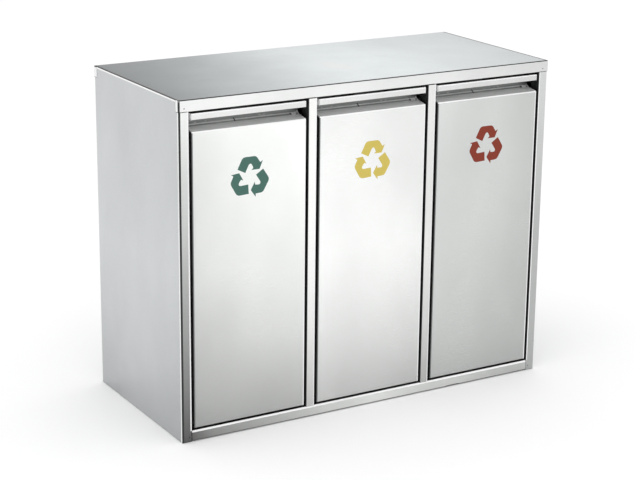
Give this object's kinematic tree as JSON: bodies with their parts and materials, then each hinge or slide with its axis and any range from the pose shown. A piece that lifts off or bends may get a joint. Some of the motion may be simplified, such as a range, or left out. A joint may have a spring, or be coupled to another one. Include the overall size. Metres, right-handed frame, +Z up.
{
  "type": "three-compartment recycling bin",
  "caption": "Stainless steel sorting bin: a folded-sheet cabinet with full-height tilt-out fronts, grip bars over finger channels, colour signs, lift-out liners and carrying bails.",
  "frame": {"origin": "on the floor, under the middle of the cabinet", "axes": "+X along the front from left to right, +Y from the fronts to the back, +Z up"},
  "size_m": [1, 0.45, 0.8],
  "materials": {
    "stainless_cabinet": "satin stainless sheet",
    "stainless_front": "satin stainless sheet, a little brighter",
    "galvanised": "galvanised sheet with a faint spangle",
    "zinc_plated": "bright zinc plate",
    "rubber_black": "matte",
    "magnet_dark": "matte",
    "nylon_black": "satin moulded",
    "vinyl_green": "satin vinyl film",
    "vinyl_yellow": "satin vinyl film",
    "vinyl_red": "satin vinyl film"
  },
  "bodies": {
    "cabinet": {"top_cap": "stainless_cabinet", "top_stiffener": "galvanised", "side_left": "stainless_cabinet", "side_right": "stainless_cabinet", "back_panel": "stainless_cabinet", "base_pan": "stainless_cabinet", "mullion_left": "stainless_cabinet", "mullion_right": "stainless_cabinet", "partition_left": "galvanised", "partition_right": "galvanised", "pivot_pins": "zinc_plated", "rest_buffers": "rubber_black", "open_stops": "zinc_plated", "catch_magnets": "magnet_dark", "catch_brackets": "zinc_plated", "glide_pads": "nylon_black", "glide_stems": "zinc_plated", "frame_studs": "stainless_cabinet", "back_rivets": "stainless_cabinet"},
    "tilting_front_1": {"door_1": "stainless_front", "grip_rail_1": "stainless_front", "cheek_left_1": "galvanised", "cheek_right_1": "galvanised", "tray_1": "galvanised", "bushes_1": "nylon_black", "stop_tabs_1": "zinc_plated", "strike_1": "zinc_plated", "liner_1": "galvanised", "ears_1": "zinc_plated", "sign_1": "vinyl_green"},
    "carrying_bail_1": {"bail_1": "zinc_plated", "bail_grip_1": "nylon_black"},
    "tilting_front_2": {"door_2": "stainless_front", "grip_rail_2": "stainless_front", "cheek_left_2": "galvanised", "cheek_right_2": "galvanised", "tray_2": "galvanised", "bushes_2": "nylon_black", "stop_tabs_2": "zinc_plated", "strike_2": "zinc_plated", "liner_2": "galvanised", "ears_2": "zinc_plated", "sign_2": "vinyl_yellow"},
    "carrying_bail_2": {"bail_2": "zinc_plated", "bail_grip_2": "nylon_black"},
    "tilting_front_3": {"door_3": "stainless_front", "grip_rail_3": "stainless_front", "cheek_left_3": "galvanised", "cheek_right_3": "galvanised", "tray_3": "galvanised", "bushes_3": "nylon_black", "stop_tabs_3": "zinc_plated", "strike_3": "zinc_plated", "liner_3": "galvanised", "ears_3": "zinc_plated", "sign_3": "vinyl_red"},
    "carrying_bail_3": {"bail_3": "zinc_plated", "bail_grip_3": "nylon_black"}
  },
  "joints": [
    {"name": "front_1_tilt", "type": "hinge", "parent": "cabinet", "child": "tilting_front_1", "pos_m": [-0.324, -0.217, 0.045], "axis": [1, 0, 0], "range_deg": [0, 30]},
    {"name": "bail_1_swing", "type": "hinge", "parent": "tilting_front_1", "child": "carrying_bail_1", "pos_m": [-0.324, -0.044, 0.5718], "axis": [1, 0, 0], "range_deg": [0, 180]},
    {"name": "front_2_tilt", "type": "hinge", "parent": "cabinet", "child": "tilting_front_2", "pos_m": [0, -0.217, 0.045], "axis": [1, 0, 0], "range_deg": [0, 30]},
    {"name": "bail_2_swing", "type": "hinge", "parent": "tilting_front_2", "child": "carrying_bail_2", "pos_m": [0, -0.044, 0.5718], "axis": [1, 0, 0], "range_deg": [0, 180]},
    {"name": "front_3_tilt", "type": "hinge", "parent": "cabinet", "child": "tilting_front_3", "pos_m": [0.324, -0.217, 0.045], "axis": [1, 0, 0], "range_deg": [0, 30]},
    {"name": "bail_3_swing", "type": "hinge", "parent": "tilting_front_3", "child": "carrying_bail_3", "pos_m": [0.324, -0.044, 0.5718], "axis": [1, 0, 0], "range_deg": [0, 180]}
  ]
}
